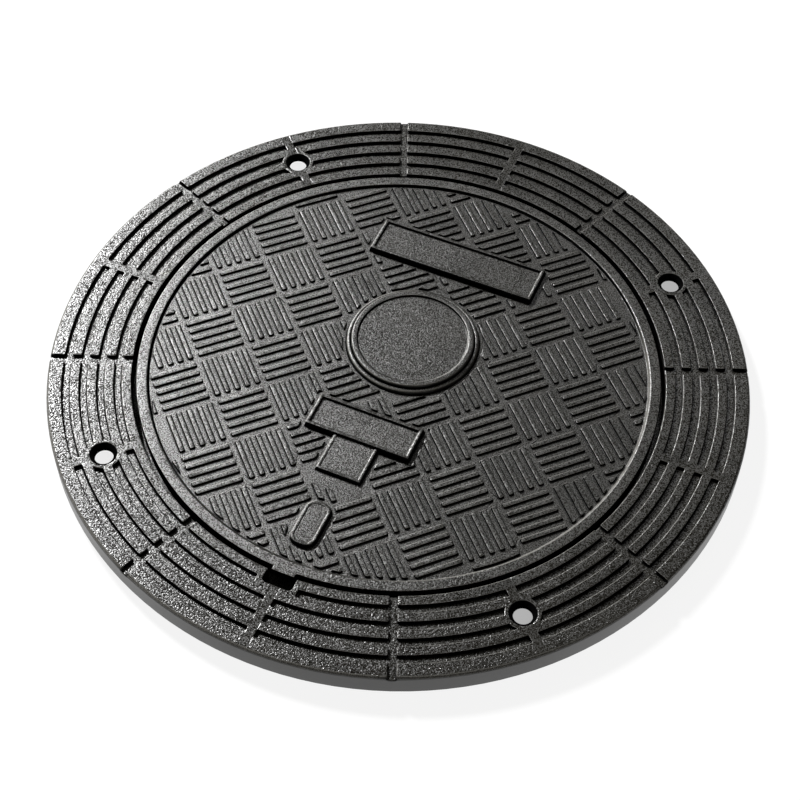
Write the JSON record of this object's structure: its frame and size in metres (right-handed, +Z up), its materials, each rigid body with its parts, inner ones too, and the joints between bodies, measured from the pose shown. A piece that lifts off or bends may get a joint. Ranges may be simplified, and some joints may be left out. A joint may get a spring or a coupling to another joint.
{
  "type": "manhole cover with ring frame",
  "caption": "Round cast iron access cover with a raised basket-weave grip, resting in a flat grooved ring frame with countersunk anchor holes and a pry notch.",
  "frame": {"origin": "centre of the ring on the base plane that beds on the shaft", "axes": "+Z up through the cover, -Y towards the pry notch, +X along the long sides of the raised plates"},
  "size_m": [0.8499, 0.85, 0.0354],
  "materials": {
    "frame_iron": "sand-cast, thin matt black coating",
    "cover_iron": "sand-cast, thin matt black coating"
  },
  "bodies": {
    "root": {"frame": "frame_iron", "cover": "cover_iron"}
  },
  "joints": []
}
